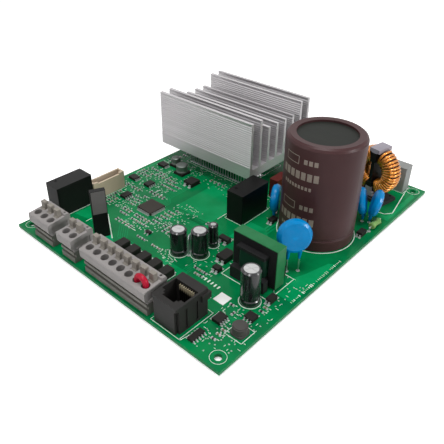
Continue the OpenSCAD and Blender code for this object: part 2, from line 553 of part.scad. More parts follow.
// the choke stands upright on its base: its own frame, and that of the ring with its axis along Z
module choke_space() translate([choke_at[0], choke_at[1], zb]) rotate(choke_turn) children();
module ring_space() choke_space() translate([0, choke_l / 2, choke_z]) rotate([90, 0, 0]) children();
core_r = [choke_d / 2 - choke_wire - 5.8, choke_d / 2 - choke_wire];

module choke_core() color("#2f3a33") ring_space() translate([0, 0, choke_wire]) difference() {
    linear_extrude(choke_l - 2 * choke_wire) difference() {
        circle(core_r[1], $fn = 72);
        circle(core_r[0], $fn = 72);
    }
}

// side-by-side turns round each half of the ring, crowded together at the hole
module choke_winding() color("#b5722a") ring_space() difference() {
    inner = choke_wire * 0.2;
    outer = choke_wire * 0.45;
    linear_extrude(choke_l) for (half = [0, 180], i = [0 : choke_turns - 1])
        rotate(half - 68 + i * 136 / (choke_turns - 1)) {
            polygon([[core_r[0] - inner, -inner], [core_r[1] + outer, -outer],
                [core_r[1] + outer, outer], [core_r[0] - inner, inner]]);
            translate([core_r[1] + choke_wire / 2, 0]) circle(choke_wire / 2, $fn = 16);
            translate([core_r[0] - inner, 0]) circle(inner, $fn = 16);
        }
    translate([0, 0, choke_wire]) linear_extrude(choke_l - 2 * choke_wire) difference() {
        circle(core_r[1], $fn = 72);
        circle(core_r[0], $fn = 72);
    }
}

// plate across the hole with a saddle at the top and bottom
module choke_divider() color("#a9a6b0") ring_space() {
    translate([-0.8, -core_r[0] + 0.06, 0]) cube([1.6, 2 * core_r[0] - 0.12, choke_l]);
    for (s = [-1, 1]) difference() {
        translate([-3, s > 0 ? core_r[1] - 0.6 : -core_r[1] - 1.8, -0.3])
            cube([6, s > 0 ? choke_wire + 0.6 : 2.4, choke_l + 0.6]);
        translate([0, 0, choke_wire]) cylinder(r = core_r[1], h = choke_l - 2 * choke_wire, $fn = 72);
    }
    for (s = [-1, 1], z = [-0.3, choke_l - choke_wire]) translate([-1.6, s > 0 ? core_r[0] : -core_r[1], z])
        cube([3.2, core_r[1] - core_r[0], choke_wire + 0.3]);
}

module choke_base() color("#1c1c1e") difference() {
    choke_space() {
        translate([-10, -6, 0]) cube([20, 12, 2]);
        translate([-5.2, -5, 0]) cube([10.4, 10, 3.2]);
    }
    ring_space() translate([0, 0, -10]) cylinder(r = core_r[1] + 1.8, h = 40, $fn = 72);
    ring_space() translate([-3, -core_r[1] - 1.8, -0.3]) cube([6, 5, choke_l + 0.6]);
    pegs(choke_legs, 10);
}

module film_capacitor() color("#8e9092") difference() {
    soft_slab(film_x, film_y, [0, film_h], 0.4);
    slab([film_x[0] + 0.8, film_x[1] - 0.8], [film_y[0] + 0.8, film_y[1] - 0.8], [-1, 0.4]);
}

module snubber_capacitor() color("#7a3328") difference() {
    soft_slab([6.9, 11.9], [21, 31], [0, 10.6], 0.4);
    slab([7.6, 11.2], [21.7, 30.3], [-1, 0.4]);
}

module box_capacitor_legs() color("#c9c6bd") {
    pegs(film_legs, 0.4);
    pegs(snub_legs, 0.4);
}

// dipped disc: a lens-shaped body on edge that leans on its two straight legs, with a drip down each
module disc_shanks(d) for (f = disc_feet(d)) translate([f[0], f[1], joint_h])
    cylinder(r = disc_leg, h = board_t + d[5] - d[4] * 0.28, $fn = 16);

module disc_capacitors() color("#1486c4") for (d = discs) difference() {
    low = d[5] - d[4] / 2;
    drip = min(3.2, low * 0.6);
    union() {
        translate([d[0], d[1], zb + low]) rotate(d[2]) rotate([d[3], 0, 0])
            translate([0, d[6] / 2, d[4] / 2]) rotate([90, 0, 0]) rotate_extrude($fn = 64)
                polygon([[0, 0], [d[4] / 2 - 1.5, 0.15], [d[4] / 2 - 0.5, 0.7], [d[4] / 2, 1.8],
                    [d[4] / 2, d[6] - 1.8], [d[4] / 2 - 0.5, d[6] - 0.7], [d[4] / 2 - 1.5, d[6] - 0.15],
                    [0, d[6]]]);
        for (f = disc_feet(d)) translate([f[0], f[1], zb + low - drip])
            cylinder(r1 = 0.5, r2 = 1.1, h = drip + 1.1, $fn = 24);
    }
    disc_shanks(d);
}

module disc_legs() color("#c9cbcc") for (d = discs) disc_shanks(d);

// bare wire bridge standing between two radial capacitors
module wire_link() color("#d6d8d8") {
    a = link_legs[0];
    b = link_legs[1];
    turn = atan2(b[1] - a[1], b[0] - a[0]);
    pegs(link_legs, 8);
    translate([(a[0] + b[0]) / 2, (a[1] + b[1]) / 2, zb + 8]) rotate(turn) rotate([90, 0, 0])
        rotate_extrude(angle = 180) translate([norm([b[0] - a[0], b[1] - a[1]]) / 2, 0]) circle(a[2] - 0.03, $fn = 16);
}

module axial_body() color("#7aa65f") translate([61.2, 33.4, zb + 1.9]) rotate([90, 0, 0])
    rotate_extrude() polygon([[0, -3.4], [1.3, -3.4], [1.7, -3], [1.7, -2.2], [1.4, -1.7], [1.4, 1.7],
        [1.7, 2.2], [1.7, 3], [1.3, 3.4], [0, 3.4]]);

module axial_legs() color("#c9cbcc") {
    pegs(axial_legs, 1.9);
    for (s = [-1, 1]) {
        translate([61.2, 33.4 + (s > 0 ? 5.2 : -3.4), zb + 1.9]) rotate([90, 0, 0]) cylinder(r = 0.35, h = 1.8, $fn = 16);
        translate([61.2, 33.4 + s * 5.2, zb + 1.9]) sphere(0.35, $fn = 16);
    }
}

module blank_label() color("#f1f2f0") translate([label_at[0] - 2.7, label_at[1] - 2.7, zb])
    cube([5.4, 5.4, 0.15]);

circuit_board();
solder_joints();
heat_sink();
power_module();
module_legs();
module_screws();
terminal_headers();
terminal_plugs();
terminal_levers();
terminal_clamps();
terminal_legs();
jumper_link();
jack_housing();
jack_contacts();
relay_cases();
relay_legs();
upright_module();
upright_panel();
upright_legs();
ribbon_connector();
ribbon_pins();
optocouplers();
optocoupler_leads();
microcontroller();
microcontroller_leads();
flat_packages();
flat_package_leads();
power_packages();
power_package_tabs();
chip_bodies();
chip_ends();
smd_can_bases();
smd_cans();
smd_inductor();
bulk_can();
bulk_sleeve();
bulk_deck();
bulk_legs();
radial_cans();
radial_sleeves();
radial_bungs();
radial_legs();
transformer_core();
transformer_tape();
transformer_bobbin();
transformer_winding();
transformer_pins();
choke_core();
choke_winding();
choke_divider();
choke_base();
film_capacitor();
snubber_capacitor();
box_capacitor_legs();
disc_capacitors();
disc_legs();
wire_link();
axial_body();
axial_legs();
blank_label();
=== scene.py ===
import math
import random

import bmesh
import bpy
from mathutils import Matrix, Vector


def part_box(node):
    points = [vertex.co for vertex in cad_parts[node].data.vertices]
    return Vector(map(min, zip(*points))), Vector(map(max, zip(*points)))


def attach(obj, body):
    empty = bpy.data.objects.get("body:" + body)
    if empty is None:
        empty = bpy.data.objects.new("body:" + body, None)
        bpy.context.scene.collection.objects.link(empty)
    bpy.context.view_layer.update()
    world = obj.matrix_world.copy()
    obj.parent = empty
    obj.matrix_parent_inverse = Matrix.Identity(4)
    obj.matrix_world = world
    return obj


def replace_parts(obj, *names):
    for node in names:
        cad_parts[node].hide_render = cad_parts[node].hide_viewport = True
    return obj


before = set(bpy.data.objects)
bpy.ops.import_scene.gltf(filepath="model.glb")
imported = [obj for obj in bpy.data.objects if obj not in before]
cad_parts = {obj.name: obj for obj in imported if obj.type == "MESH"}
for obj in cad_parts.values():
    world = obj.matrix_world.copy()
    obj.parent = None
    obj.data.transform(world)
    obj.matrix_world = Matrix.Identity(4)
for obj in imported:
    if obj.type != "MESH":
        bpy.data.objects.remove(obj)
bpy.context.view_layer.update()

# ---- Bare board ----
# A 1.6 mm glass-epoxy laminate under green solder mask. The mask is screened on as a wet
# lacquer and cured, so it lies glossy over the copper, which shows through as a paler green.


def srgb(code):
    """A hex colour as linear red, green, blue and alpha."""
    parts = [int(code[i:i + 2], 16) / 255 for i in (1, 3, 5)]
    return [c / 12.92 if c <= 0.04045 else ((c + 0.055) / 1.055) ** 2.4 for c in parts] + [1.0]


def add(tree, kind, inputs={}, **settings):
    """Adds a node with its settings, and its inputs set or linked."""
    node = tree.nodes.new("ShaderNode" + kind)
    for name, value in settings.items():
        setattr(node, name, value)
    for name, value in inputs.items():
        if isinstance(value, bpy.types.NodeSocket):
            tree.links.new(value, node.inputs[name])
        else:
            node.inputs[name].default_value = value
    return node


def surface(name, **look):
    """A new material, with its node tree, its shader and the object coordinates."""
    material = bpy.data.materials.new(name)
    material.use_nodes = True
    tree = material.node_tree
    tree.nodes.clear()
    shader = add(tree, "BsdfPrincipled", {k.replace("_", " "): v for k, v in look.items()})
    add(tree, "OutputMaterial", {"Surface": shader.outputs[0]})
    return material, tree, shader, add(tree, "TexCoord").outputs["Object"]


def cured_mask(name, deep, pale):
    """Solder mask: deep to pale in soft clouds a few millimetres wide, with orange peel."""
    material, tree, shader, place = surface(name, Roughness=0.24, Specular_IOR_Level=0.1, Coat_Weight=0.02, Coat_Roughness=0.1)
    clouds = add(tree, "TexNoise", {"Vector": place, "Scale": 1000 / 14, "Detail": 4.0, "Roughness": 0.6})
    spread = add(tree, "MapRange", {"Value": clouds.outputs["Fac"], "From Min": 0.35, "From Max": 0.65})
    tone = add(tree, "Mix", {0: spread.outputs[0], 6: srgb(deep), 7: srgb(pale)}, data_type="RGBA")
    # the glass weave under the lacquer has a 0.9 mm pitch and is drawn twice as coarse to show;
    # a wave texture repeats tau / 20 m apart at a scale of 1
    pitch = math.tau / 20 / 0.0018
    warp = add(tree, "TexWave", {"Vector": place, "Scale": pitch}, bands_direction="X")
    weft = add(tree, "TexWave", {"Vector": place, "Scale": pitch}, bands_direction="Y")
    weave = add(tree, "Math", {0: warp.outputs["Fac"], 1: weft.outputs["Fac"]}, operation="MULTIPLY")
    peel = add(tree, "Bump", {"Strength": 0.12, "Distance": 0.00002, "Height": weave.outputs[0]})
    tree.links.new(tone.outputs[2], shader.inputs["Base Color"])
    tree.links.new(peel.outputs[0], shader.inputs["Normal"])
    return material


def paint(node, material):
    """Gives a CAD node the finish."""
    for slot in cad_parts[node].material_slots:
        slot.material = material


def piece(name, bm, material, smooth=None):
    """Makes an object of a mesh drawn in millimetres, and puts it on the part."""
    bmesh.ops.recalc_face_normals(bm, faces=bm.faces)
    bmesh.ops.scale(bm, vec=(0.001,) * 3, verts=bm.verts)
    mesh = bpy.data.meshes.new(name)
    bm.to_mesh(mesh)
    bm.free()
    mesh.materials.append(material)
    if smooth:
        mesh.shade_smooth()
        mesh.set_sharp_from_angle(angle=math.radians(smooth))
    thing = bpy.data.objects.new(name, mesh)
    bpy.context.scene.collection.objects.link(thing)
    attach(thing, "root")
    return thing


def bar(bm, a, b, width, low, high):
    """A straight strip of metal or ink from a to b."""
    turn = Matrix.Rotation(math.atan2(b[1] - a[1], b[0] - a[0]), 4, "Z")
    middle = Matrix.Translation(((a[0] + b[0]) / 2, (a[1] + b[1]) / 2, (low + high) / 2))
    size = Matrix.Diagonal((math.dist(a, b) + width, width, high - low, 1))
    bmesh.ops.create_cube(bm, size=1, matrix=middle @ turn @ size)


def patch(bm, corners, low, high):
    """A flat area of copper or ink with straight edges."""
    base = bm.faces.new([bm.verts.new((x, y, low)) for x, y in corners])
    grown = bmesh.ops.extrude_face_region(bm, geom=[base], use_keep_orig=True)
    bmesh.ops.translate(bm, vec=(0, 0, high - low), verts=[v for v in grown["geom"] if isinstance(v, bmesh.types.BMVert)])


def band(bm, centre, inner, outer, low, high, steps=24, sweep=math.tau, start=0.0):
    """A flat ring, or with a shorter sweep an arc of one."""
    turn = Matrix.Translation((centre[0], centre[1], 0)) @ Matrix.Rotation(start, 4, "Z")
    corners = [bm.verts.new(turn @ Vector(p)) for p in ((inner, 0, low), (outer, 0, low), (outer, 0, high), (inner, 0, high))]
    whole = sweep > 6.28
    section = [bm.edges.new((corners[i - 1], corners[i])) for i in range(4)]
    if not whole:
        section += [bm.faces.new(corners)]
    bmesh.ops.spin(bm, geom=corners + section, cent=(centre[0], centre[1], 0), axis=(0, 0, 1), angle=sweep,
                   steps=steps, use_merge=whole, use_duplicate=False)


def solids_of(node):
    """The lowest and highest corner, in millimetres, of each separate solid of a CAD node."""
    bm = bmesh.new()
    bm.from_mesh(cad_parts[node].data)
    bmesh.ops.remove_doubles(bm, verts=bm.verts, dist=1e-6)
    found, seen = [], set()
    for seed in bm.verts:
        if seed in seen:
            continue
        seen.add(seed)
        queue, places = [seed], []
        while queue:
            corner = queue.pop()
            places.append(corner.co * 1000)
            for edge in corner.link_edges:
                other = edge.other_vert(corner)
                if other not in seen:
                    seen.add(other)
                    queue.append(other)
        found.append(([min(p[i] for p in places) for i in range(3)], [max(p[i] for p in places) for i in range(3)]))
    bm.free()
    return found


board_low, board_top = (corner[2] * 1000 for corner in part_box("circuit_board"))
bare_mask = cured_mask("solder_mask_on_laminate", "#006b3c", "#007e45")
paint("circuit_board", bare_mask)

# ---- Copper under the mask ----
# Etched 70 micron copper: wide ground areas, and tracks that leave the microcontroller and the
# power module side by side in straight runs with 45 degree corners.

covered_mask = cured_mask("solder_mask_on_copper", "#00864c", "#0c955a")
bright_mask = cured_mask("solder_mask_on_heavy_copper", "#008e5a", "#08a06a")
copper_high = board_top + 0.05
areas = bmesh.new()
for corners in [
    [(-21.5, -19), (1.6, -19), (1.6, 9), (-21.5, 9)],
    [(-44.2, -56.2), (-39.4, -56.2), (-39.4, -48.4), (-48.6, -42.2), (-53, -46), (-53.4, -58)],
    [(15.4, -20), (33, -20), (33, -12), (24.6, -4), (15.4, -4)],
    [(24.4, -71), (27.6, -71), (27.6, -64), (20, -52), (6, -52), (6, -56.2), (22, -56.2)],
    [(55, -37), (63.4, -37), (63.4, -4), (60.4, -6), (57.2, -18), (55, -24)],
    [(-63.4, 12), (-63.4, -12.4), (-62, -12.4), (-62, 12)],
    [(20, 32), (24, 24), (28, 30), (34, 34), (46, 34), (46, 44), (20, 44)],
    [(4, 62), (33, 62), (33, 79), (4, 79)],
    [(-56, 62), (-6, 62), (-6, 80), (-56, 80)],
    [(56, 42), (63.6, 42), (63.6, 72), (61.2, 74.2), (61.2, 46), (56, 46)],
]:
    patch(areas, corners, board_top, copper_high)
piece("copper_areas", areas, covered_mask)

heavy = bmesh.new()
patch(heavy, [(-25.4, -56.6), (-17.6, -61.6), (-17.6, -69.6), (-27, -69.6), (-27, -58.8)], board_top, copper_high)
piece("heavy_copper_areas", heavy, bright_mask)

tracks = bmesh.new()
for route, count, step, width in [
    ([(-23.2, -33.2), (-17, -33.2), (-10, -26.2), (1.5, -26.2)], 9, (0, 0.75), 0.3),
    ([(-23.2, -26.4), (-19, -26.4), (-15, -22.4), (14, -22.4)], 4, (0, 0.8), 0.34),
    ([(-33, -23), (-33, -19), (-36.4, -15.6), (-36.4, 19.8)], 8, (1.1, 0), 0.34),
    ([(-34.8, -26), (-41, -26), (-43.6, -23.4), (-54.4, -23.4)], 6, (0, -0.8), 0.3),
    ([(-32, -34.8), (-32, -46), (-22, -56), (-14, -56)], 5, (1, 0.5), 0.34),
    ([(-8.6, -70.6), (-8.6, -66), (-10.5, -64.2)], 1, (0, 0), 0.8),
    ([(-19, 19.8), (-19, 11.5), (-12, 4.5), (-12, -8)], 7, (1.1, 0.4), 0.36),
    ([(17, -52), (17, -46), (22, -41), (22, -30)], 4, (1, 0), 0.36),
    ([(50, -63), (50, -60.6), (53, -57.6)], 3, (0.8, 0), 0.3),
    ([(43.6, -69.6), (38, -64), (38, -57)], 4, (-1.1, 0), 0.34),
    ([(15.6, -14), (20, -14), (24, -10), (24, 14)], 3, (1.6, 0), 0.9),
    ([(-54.6, -41), (-51, -41), (-49, -39), (-49, -35)], 5, (0.2, 1.3), 0.3),
    ([(34, -57), (44, -57), (46, -55)], 3, (0, 1.2), 0.4),
    ([(-63, -42), (-63, -20), (-60, -17)], 1, (0, 0), 0.5),
    ([(27, -20), (31, -16), (31, -12)], 3, (1.6, -0.4), 0.8),
]:
    for k in range(count):
        line = [(x + k * step[0], y + k * step[1]) for x, y in route]
        for a, b in zip(line, line[1:]):
            bar(tracks, a, b, width, board_top, copper_high)
for route, count, step, width in [
    ([(-50, 18), (-50, -20), (-30, -40), (-30, -66)], 9, (2.4, 0), 0.5),
    ([(-12, 46), (8, 26), (8, -20), (22, -34), (22, -64)], 7, (-2.2, 0), 0.6),
    ([(-56, -10), (-20, -10), (-6, -24), (40, -24)], 6, (0, -2.6), 0.5),
    ([(30, 60), (30, 20), (56, -6), (56, -40)], 3, (-5, 0), 3.2),
    ([(-58, 60), (20, 60), (26, 66), (38, 66)], 3, (0, 5), 3.2),
]:
    for k in range(count):
        line = [(x + k * step[0], y + k * step[1]) for x, y in route]
        for a, b in zip(line, line[1:]):
            bar(tracks, a, b, width, board_low - 0.05, board_low)
piece("tracks", tracks, covered_mask)

# ---- White print ----
# Epoxy ink screened over the mask: part outlines, rings round the mounting holes and rows of
# plain marks. It is matt and a little thin at its edges.

ink, tree, shader, place = surface("white_screen_ink", Roughness=0.62)
wear = add(tree, "TexNoise", {"Vector": place, "Scale": 1000 / 0.8, "Detail": 2.0})
thin = add(tree, "Mix", {0: wear.outputs["Fac"], 6: srgb("#f2f4ef"), 7: srgb("#bcd8c6")}, data_type="RGBA")
tree.links.new(thin.outputs[2], shader.inputs["Base Color"])
ink_low, ink_high = board_top + 0.01, board_top + 0.09
marks = bmesh.new()


def frame_round(low, high, gap, width=0.24):
    """A printed rectangle round a part."""
    x0, y0, x1, y1 = max(low[0] - gap, -64.8), low[1] - gap, high[0] + gap, high[1] + gap
    corners = [(x0, y0), (x1, y0), (x1, y1), (x0, y1)]
    for i in range(4):
        bar(marks, corners[i - 1], corners[i], width, ink_low, ink_high)


for node, gap in [("relay_cases", 0.5), ("ribbon_connector", 0.6), ("film_capacitor", 0.6),
                  ("snubber_capacitor", 0.5), ("optocouplers", 0.25), ("smd_inductor", 0.9), ("jack_housing", 0.5)]:
    for low, high in solids_of(node):
        frame_round(low, high, gap)
frame_round((31, -42), (55, -25), 0.4, 0.3)
frame_round((-51, 20, 0), (-9, 52, 0), 0.8)
for sx in (-1, 1):
    for sy in (-1, 1):
        band(marks, (sx * 60.2, sy * 77.2), 3.1, 3.26, ink_low, ink_high, steps=48)
for low, high in solids_of("radial_sleeves"):
    middle = ((low[0] + high[0]) / 2, (low[1] + high[1]) / 2)
    band(marks, middle, (high[0] - low[0]) / 2 + 0.3, (high[0] - low[0]) / 2 + 0.62, ink_low, ink_high, steps=40)
band(marks, (42, 11.7), 18, 18.4, ink_low, ink_high, steps=72)
for a, b, width in [((-54.5, -59.4), (-54.5, -47.5), 0.4), ((-43.5, -58.1), (-43.5, -54.8), 0.3),
                    ((-40.3, -47.3), (-23.3, -58.2), 0.45), ((44.7, -80.8), (46.6, -71.8), 0.25),
                    ((55.2, 46), (59.6, 46.7), 0.4), ((59.6, 46.7), (62.2, 50), 0.4), ((62.2, 50), (56.7, 78.4), 0.4),
                    ((-26, -47), (-20, -47), 0.3), ((2, -13), (2, 12), 0.3)]:
    bar(marks, a, b, width, ink_low, ink_high)
chance = random.Random(7)
for i in range(34):
    x, y = 62.9 + 0.01 * i, -37 + i * 1.12 + chance.uniform(-0.2, 0.2)
    wide, long = chance.choice((0.2, 0.24, 0.5)), chance.choice((0.3, 0.5, 0.9))
    if i % 9 != 6:
        bar(marks, (x - long / 2, y), (x + long / 2, y), wide, ink_low, ink_high)
for i in range(6):
    x, y = 26.4 + 1.9 * i, -49.6 - 0.1 * i
    bar(marks, (x, y - 0.5), (x, y + 0.5), 0.7, ink_low, ink_high)

# ---- Chip resistors and capacitors ----
# Thin alumina slips with a black resistive film on top, and tan ceramic blocks. Both stand
# between two tinned ends on pads of wetted solder.

tin, tree, shader, place = surface("reflowed_solder", Metallic=0.6)
blobs = add(tree, "TexNoise", {"Vector": place, "Scale": 1000 / 0.7, "Detail": 3.0})
tone = add(tree, "Mix", {0: blobs.outputs["Fac"], 6: srgb("#dcdedd"), 7: srgb("#a8acac")}, data_type="RGBA")
dull = add(tree, "MapRange", {"Value": blobs.outputs["Fac"], "To Min": 0.18, "To Max": 0.5})
lumps = add(tree, "Bump", {"Strength": 0.5, "Distance": 0.00005, "Height": blobs.outputs["Fac"]})
tree.links.new(tone.outputs[2], shader.inputs["Base Color"])
tree.links.new(dull.outputs[0], shader.inputs["Roughness"])
tree.links.new(lumps.outputs[0], shader.inputs["Normal"])

pad_high = board_top + 0.07
pads = bmesh.new()
for node, spill in [("chip_ends", 0.3), ("flat_package_leads", 0.22), ("microcontroller_leads", 0.12),
                    ("optocoupler_leads", 0.3), ("power_package_tabs", 0.35)]:
    for low, high in solids_of(node):
        middle_y = (low[1] + high[1]) / 2
        bar(pads, (low[0] + (high[1] - low[1]) / 2, middle_y), (high[0] - (high[1] - low[1]) / 2, middle_y),
            high[1] - low[1] + spill, board_top, pad_high) if high[0] - low[0] > high[1] - low[1] else bar(
            pads, ((low[0] + high[0]) / 2, low[1] + (high[0] - low[0]) / 2),
            ((low[0] + high[0]) / 2, high[1] - (high[0] - low[0]) / 2), high[0] - low[0] + spill, board_top, pad_high)
for low, high in solids_of("solder_joints"):
    middle = ((low[0] + high[0]) / 2, (low[1] + high[1]) / 2)
    band(pads, middle, (high[0] - low[0]) / 2 - 0.4, (high[0] - low[0]) / 2 + 0.25, board_top, pad_high, steps=14)
piece("pads", pads, tin)

ceramic, tree, shader, place = surface("fired_ceramic", Roughness=0.45)
grain = add(tree, "TexNoise", {"Vector": place, "Scale": 1000 / 6.0, "Detail": 2.0})
tone = add(tree, "Mix", {0: grain.outputs["Fac"], 6: srgb("#8f8468"), 7: srgb("#665c48")}, data_type="RGBA")
tree.links.new(tone.outputs[2], shader.inputs["Base Color"])
# vias, test points and ticks of ink crowd the board round the small packages
crowd = [box for node in (
    "relay_cases", "jack_housing", "terminal_plugs", "flat_packages", "power_packages", "microcontroller", "smd_can_bases",
    "chip_ends", "optocouplers", "optocoupler_leads", "flat_package_leads", "radial_sleeves", "bulk_sleeve",
    "transformer_bobbin", "ribbon_connector", "snubber_capacitor", "upright_module", "smd_inductor", "module_legs",
    "blank_label") for box in solids_of(node)]
# the tracks to the terminals cross clear ground behind the optocouplers
crowd += [((-46, -60), (-31, -40.5)), ((-31, -60), (-13, -45.5)), ((-13, -60), (-1, -42))]
vias = bmesh.new()
for x0, y0, x1, y1, count in [(-62, -22, -34, 19, 340), (-54, -42, -36, -24, 120), (-40, -50, -12, -36, 210),
                              (-22, -38, -6, -14, 90), (-14, -53, 12, -32, 170), (14, -50, 30, -18, 70),
                              (44, -79, 63, -50, 130), (52, -50, 62, -24, 40), (-30, 4, 22, 19, 70), (18, -72, 29, -54, 30)]:
    for i in range(count):
        x, y = chance.uniform(x0, x1), chance.uniform(y0, y1)
        kind, length, upright = chance.random(), chance.uniform(0.5, 1.3), chance.random() < 0.5
        if math.dist((abs(x), abs(y)), (60.2, 77.2)) < 4 or any(
                low[0] - 0.7 < x < high[0] + 0.7 and low[1] - 0.7 < y < high[1] + 0.7 for low, high in crowd):
            continue
        if kind < 0.45:
            band(vias, (x, y), 0.14, 0.3, board_top, pad_high, steps=8)
        elif kind < 0.6:
            bar(vias, (x, y), (x + 0.2, y), 0.45, board_top, pad_high)
        else:
            end = (x, y + length) if upright else (x + length, y)
            bar(marks, (x, y), end, 0.19, ink_low, ink_high)
piece("vias", vias, tin)

film, tree, shader, place = surface("glazed_resistive_film", Roughness=0.3)
grain = add(tree, "TexNoise", {"Vector": place, "Scale": 1000 / 0.3, "Detail": 2.0})
tone = add(tree, "Mix", {0: grain.outputs["Fac"], 6: srgb("#1b1d1c"), 7: srgb("#303231")}, data_type="RGBA")
tree.links.new(tone.outputs[2], shader.inputs["Base Color"])
blocks, slips = bmesh.new(), bmesh.new()
for i, (low, high) in enumerate(solids_of("chip_bodies")):
    middle = Matrix.Translation([(low[k] + high[k]) / 2 for k in range(3)])
    made = bmesh.ops.create_cube(slips if i % 5 < 3 else blocks, size=1,
                                 matrix=middle @ Matrix.Diagonal([high[k] - low[k] for k in range(3)] + [1]))
    bmesh.ops.bevel(slips if i % 5 < 3 else blocks, geom=list({e for v in made["verts"] for e in v.link_edges}),
                    offset=0.06, affect="EDGES", segments=1, profile=0.5, material=-1)
    bar(marks, (high[0] + 0.9, high[1] + 0.3), (high[0] + 1.5, high[1] + 0.3), 0.28, ink_low, ink_high)
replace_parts(piece("resistor_slips", slips, film), "chip_bodies")
piece("capacitor_blocks", blocks, ceramic)
paint("chip_ends", tin)
piece("white_print", marks, ink)

# ---- Moulded packages ----
# Integrated circuits, optocouplers and power parts in black epoxy moulding compound, matt from
# the spark-eroded mould, on gull-wing leads of tinned copper.


def moulded(name, shade, light, roughness, grain, depth=0.03):
    """Moulded plastic: faint flow clouds, and the mould's grain in mm as a bump."""
    material, tree, shader, place = surface(name, Roughness=roughness, Specular_IOR_Level=0.15)
    flow = add(tree, "TexNoise", {"Vector": place, "Scale": 1000 / 7, "Detail": 3.0})
    tone = add(tree, "Mix", {0: flow.outputs["Fac"], 6: srgb(shade), 7: srgb(light)}, data_type="RGBA")
    spark = add(tree, "TexNoise", {"Vector": place, "Scale": 1000 / grain, "Detail": 2.0})
    texture = add(tree, "Bump", {"Strength": 0.35, "Distance": depth / 1000, "Height": spark.outputs["Fac"]})
    tree.links.new(tone.outputs[2], shader.inputs["Base Color"])
    tree.links.new(texture.outputs[0], shader.inputs["Normal"])
    return material


epoxy = moulded("epoxy_moulding_compound", "#1c1b19", "#272523", 0.5, 0.25)
warm_epoxy = moulded("warm_epoxy_moulding", "#2e2a26", "#39342f", 0.5, 0.25)
for node in ("flat_packages", "power_packages", "power_module", "optocouplers"):
    paint(node, epoxy)
paint("microcontroller", warm_epoxy)
for node in ("flat_package_leads", "microcontroller_leads", "optocoupler_leads", "power_package_tabs", "solder_joints"):
    paint(node, tin)

# ---- Legs and screws ----
# Drawn copper-clad wire, hot-dip tinned, and zinc-plated steel screws that pull the power module
# against the heat sink.

wire_tin, tree, shader, place = surface("tinned_wire", Metallic=1.0, Roughness=0.28)
drawn = add(tree, "TexNoise", {"Vector": place, "Scale": 1000 / 1.5, "Detail": 2.0})
tone = add(tree, "Mix", {0: drawn.outputs["Fac"], 6: srgb("#d8dadb"), 7: srgb("#a9adaf")}, data_type="RGBA")
tree.links.new(tone.outputs[2], shader.inputs["Base Color"])
for node in ("module_legs", "module_screws", "terminal_legs", "relay_legs", "upright_legs", "ribbon_pins", "bulk_legs",
             "radial_legs", "transformer_pins", "box_capacitor_legs", "disc_legs", "wire_link", "axial_legs"):
    paint(node, wire_tin)

# ---- Heat sink ----
# One aluminium extrusion, sawn to length and left as milled: fins with fine ribs that run with
# the die, duller along the ribs, and bright sawn ends.

mill, tree, shader, place = surface("mill_finish_aluminium", Metallic=0.6)
along = add(tree, "Mapping", {"Vector": place, "Scale": (6.0, 1400.0, 1400.0)})
streak = add(tree, "TexNoise", {"Vector": along.outputs[0], "Scale": 1.0, "Detail": 4.0})
tone = add(tree, "Mix", {0: streak.outputs["Fac"], 6: srgb("#d0cdcf"), 7: srgb("#b2afb1")}, data_type="RGBA")
dull = add(tree, "MapRange", {"Value": streak.outputs["Fac"], "To Min": 0.34, "To Max": 0.5})
lines = add(tree, "Bump", {"Strength": 0.25, "Distance": 0.00003, "Height": streak.outputs["Fac"]})
tree.links.new(tone.outputs[2], shader.inputs["Base Color"])
tree.links.new(dull.outputs[0], shader.inputs["Roughness"])
tree.links.new(lines.outputs[0], shader.inputs["Normal"])
paint("heat_sink", mill)

# ---- Pluggable terminals ----
# Pale grey polyamide plugs seated in pin headers of the same plastic, with release levers,
# nickel-plated clamps in the wire entries and one red insulated jumper.

polyamide = moulded("pale_grey_polyamide", "#8b8786", "#9c9896", 0.46, 0.4)
header_grey = moulded("header_grey_polyamide", "#6c6a65", "#7b7973", 0.5, 0.4)
lever_grey = moulded("lever_grey_polyamide", "#827d76", "#979188", 0.42, 0.4)
red_vinyl = moulded("red_vinyl", "#9c1229", "#b71b36", 0.22, 0.9, 0.02)
paint("terminal_plugs", polyamide)
paint("terminal_headers", header_grey)
paint("terminal_levers", lever_grey)
paint("terminal_clamps", moulded("shaded_clamp", "#2a2827", "#3a3735", 0.4, 0.5))
paint("jumper_link", red_vinyl)

# ---- Network jack, relays and upright part ----
# Boxes of black polyester. The jack has gold-flashed contacts, the relay cases are smoother than
# the jack, and the upright part carries a blank grey panel.

polyester = moulded("black_polyester", "#232221", "#2d2c2b", 0.42, 0.35)
relay_black = moulded("relay_polyester", "#0a0a0a", "#131313", 0.36, 0.45, 0.02)
gold, tree, shader, place = surface("gold_flash_with_painted_shade", Metallic=0.4, Roughness=0.25)
worn = add(tree, "TexNoise", {"Vector": place, "Scale": 1000 / 1.2, "Detail": 2.0})
tone = add(tree, "Mix", {0: worn.outputs["Fac"], 6: srgb("#fff6dc"), 7: srgb("#f2dfae")}, data_type="RGBA")
# below their bent top ends the contacts are painted near-black: painted shade where they run down into the jack's
# cavity
height = add(tree, "SeparateXYZ", {0: place}).outputs["Z"]
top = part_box("jack_contacts")[1][2]
out_of_shade = add(tree, "MapRange", {"Value": height, "From Min": top - 0.0028, "From Max": top - 0.0012})
finish = add(tree, "Mix", {0: out_of_shade.outputs[0], 6: srgb("#1c1915"), 7: tone.outputs[2]}, data_type="RGBA")
tree.links.new(finish.outputs[2], shader.inputs["Base Color"])
paint("jack_housing", polyester)
paint("jack_contacts", gold)
paint("relay_cases", relay_black)
paint("upright_module", moulded("black_resin_on_edge", "#0d0d0e", "#151515", 0.4, 0.45))
paint("upright_panel", moulded("grey_panel", "#5d5b5a", "#696766", 0.5, 0.5))

# ---- Ribbon connector ----
# A beige nylon wafer housing with a row of tinned pins.

paint("ribbon_connector", moulded("beige_nylon", "#c4b199", "#d4c3ae", 0.4, 0.5))

# ---- Surface-mount cans and inductor ----
# Aluminium cans on black phenolic bases, and a shielded inductor of pressed ferrite.

